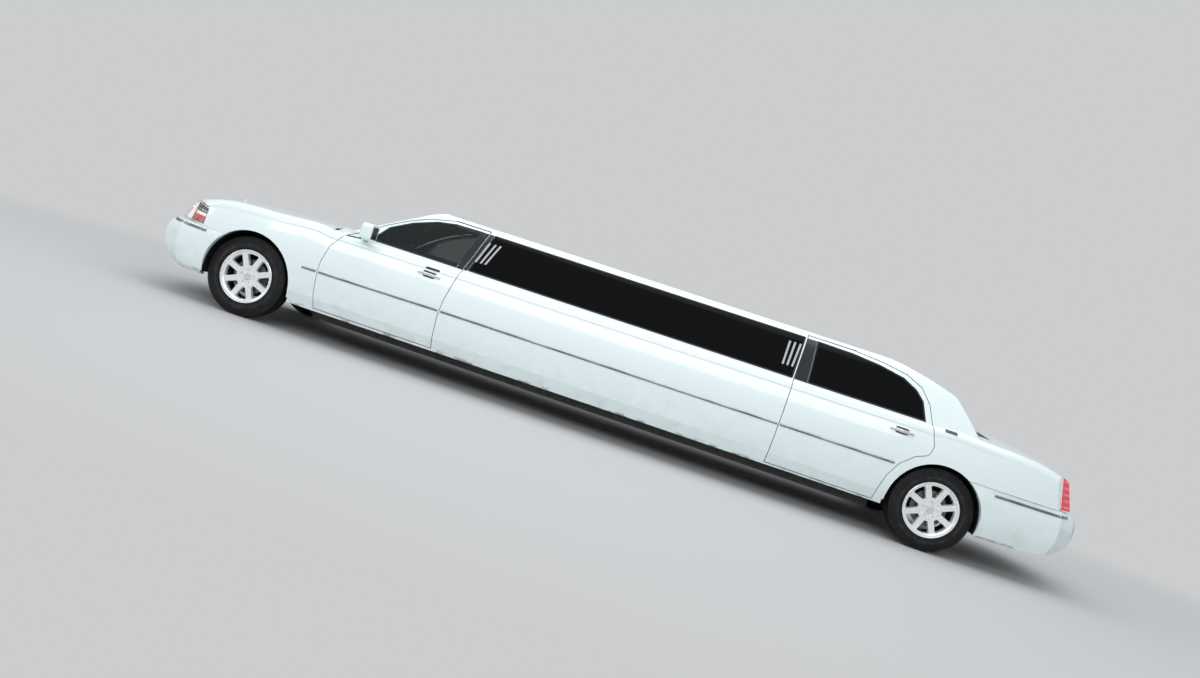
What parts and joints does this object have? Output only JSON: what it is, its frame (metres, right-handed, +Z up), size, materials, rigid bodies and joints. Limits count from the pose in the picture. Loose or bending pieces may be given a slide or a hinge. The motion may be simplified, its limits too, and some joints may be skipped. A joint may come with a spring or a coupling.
{
  "type": "stretch limousine",
  "caption": "Long white sedan with a lengthened middle, a hollow cabin with lounge seating behind a partition, opening doors, hood and trunk, and steered front wheels.",
  "frame": {"origin": "on the ground, below the middle of the overall box", "axes": "+X forward, +Y to the car's left, +Z up"},
  "size_m": [8.48, 2.26, 1.4353],
  "materials": {
    "body_paint": "gloss",
    "black_trim": "satin",
    "cabin_trim": "satin",
    "partition_trim": "satin",
    "seat_leather": "satin",
    "bar_wood": "gloss",
    "clear_glass": "gloss",
    "dark_glass": "gloss",
    "lamp_lens": "gloss",
    "tail_lens": "gloss",
    "bright_trim": "polished",
    "floor_coat": "matte",
    "liner_plastic": "matte",
    "chassis_coat": "satin",
    "engine_metal": "matte",
    "gearbox_metal": "matte",
    "exhaust_steel": "satin",
    "tyre_rubber": "matte",
    "wheel_bright": "polished"
  },
  "bodies": {
    "chassis": {"bar_console": "bar_wood", "body_side_left": "body_paint", "body_side_right": "body_paint", "cowl": "black_trim", "dashboard": "cabin_trim", "engine": "engine_metal", "exhaust": "exhaust_steel", "floor_pan": "floor_coat", "frame": "chassis_coat", "front_bumper": "body_paint", "front_seats": "seat_leather", "front_suspension": "chassis_coat", "front_wing_left": "body_paint", "front_wing_right": "body_paint", "fuel_tank": "chassis_coat", "gearbox": "gearbox_metal", "grille": "bright_trim", "headlamps": "lamp_lens", "lounge_seats": "seat_leather", "parcel_shelf": "cabin_trim", "partition": "partition_trim", "radiator": "gearbox_metal", "rear_axle": "chassis_coat", "rear_bumper": "body_paint", "rear_window": "clear_glass", "roof": "body_paint", "stretch_windows": "dark_glass", "tail_lamps": "tail_lens", "trunk_floor": "floor_coat", "wheel_liners": "liner_plastic", "windscreen": "clear_glass"},
    "front_wheel_left": {"tyre_front_left": "tyre_rubber", "rim_front_left": "wheel_bright"},
    "front_wheel_right": {"tyre_front_right": "tyre_rubber", "rim_front_right": "wheel_bright"},
    "rear_wheel_left": {"tyre_rear_left": "tyre_rubber", "rim_rear_left": "wheel_bright"},
    "rear_wheel_right": {"tyre_rear_right": "tyre_rubber", "rim_rear_right": "wheel_bright"},
    "steer_left": {"knuckle_left": "chassis_coat"},
    "steer_right": {"knuckle_right": "chassis_coat"},
    "hood": {"hood": "body_paint"},
    "trunk_lid": {"trunk_lid": "body_paint"},
    "door_front_left": {"door_front_left": "body_paint", "glass_front_left": "clear_glass"},
    "door_front_right": {"door_front_right": "body_paint", "glass_front_right": "clear_glass"},
    "door_rear_left": {"door_rear_left": "body_paint", "glass_rear_left": "dark_glass"},
    "door_rear_right": {"door_rear_right": "body_paint", "glass_rear_right": "dark_glass"}
  },
  "joints": [
    {"name": "steer_left", "type": "hinge", "parent": "chassis", "child": "steer_left", "pos_m": [3.199, 0.76, 0.345], "axis": [0, 0, 1], "range_deg": [-32, 32]},
    {"name": "front_wheel_left_spin", "type": "hinge", "parent": "steer_left", "child": "front_wheel_left", "pos_m": [3.199, 0.805, 0.345], "axis": [0, 1, 0], "continuous": true},
    {"name": "rear_wheel_left_spin", "type": "hinge", "parent": "chassis", "child": "rear_wheel_left", "pos_m": [-2.839, 0.825, 0.345], "axis": [0, 1, 0], "continuous": true},
    {"name": "door_front_left_hinge", "type": "hinge", "parent": "chassis", "child": "door_front_left", "pos_m": [2.534, 1.003, 0.6], "axis": [0, 0, -1], "range_deg": [0, 65]},
    {"name": "door_rear_left_hinge", "type": "hinge", "parent": "chassis", "child": "door_rear_left", "pos_m": [-1.469, 1.003, 0.6], "axis": [0, 0, -1], "range_deg": [0, 65]},
    {"name": "steer_right", "type": "hinge", "parent": "chassis", "child": "steer_right", "pos_m": [3.199, -0.76, 0.345], "axis": [0, 0, 1], "range_deg": [-32, 32]},
    {"name": "front_wheel_right_spin", "type": "hinge", "parent": "steer_right", "child": "front_wheel_right", "pos_m": [3.199, -0.805, 0.345], "axis": [0, 1, 0], "continuous": true},
    {"name": "rear_wheel_right_spin", "type": "hinge", "parent": "chassis", "child": "rear_wheel_right", "pos_m": [-2.839, -0.825, 0.345], "axis": [0, 1, 0], "continuous": true},
    {"name": "door_front_right_hinge", "type": "hinge", "parent": "chassis", "child": "door_front_right", "pos_m": [2.534, -1.003, 0.6], "axis": [0, 0, 1], "range_deg": [0, 65]},
    {"name": "door_rear_right_hinge", "type": "hinge", "parent": "chassis", "child": "door_rear_right", "pos_m": [-1.469, -1.003, 0.6], "axis": [0, 0, 1], "range_deg": [0, 65]},
    {"name": "hood_hinge", "type": "hinge", "parent": "chassis", "child": "hood", "pos_m": [2.619, 0, 1.016], "axis": [0, -1, 0], "range_deg": [0, 50]},
    {"name": "trunk_hinge", "type": "hinge", "parent": "chassis", "child": "trunk_lid", "pos_m": [-3.177, 0, 1.078], "axis": [0, 1, 0], "range_deg": [0, 75]}
  ],
  "couplings": [
    {"joint": "steer_right", "follows": "steer_left", "ratio": 1}
  ]
}
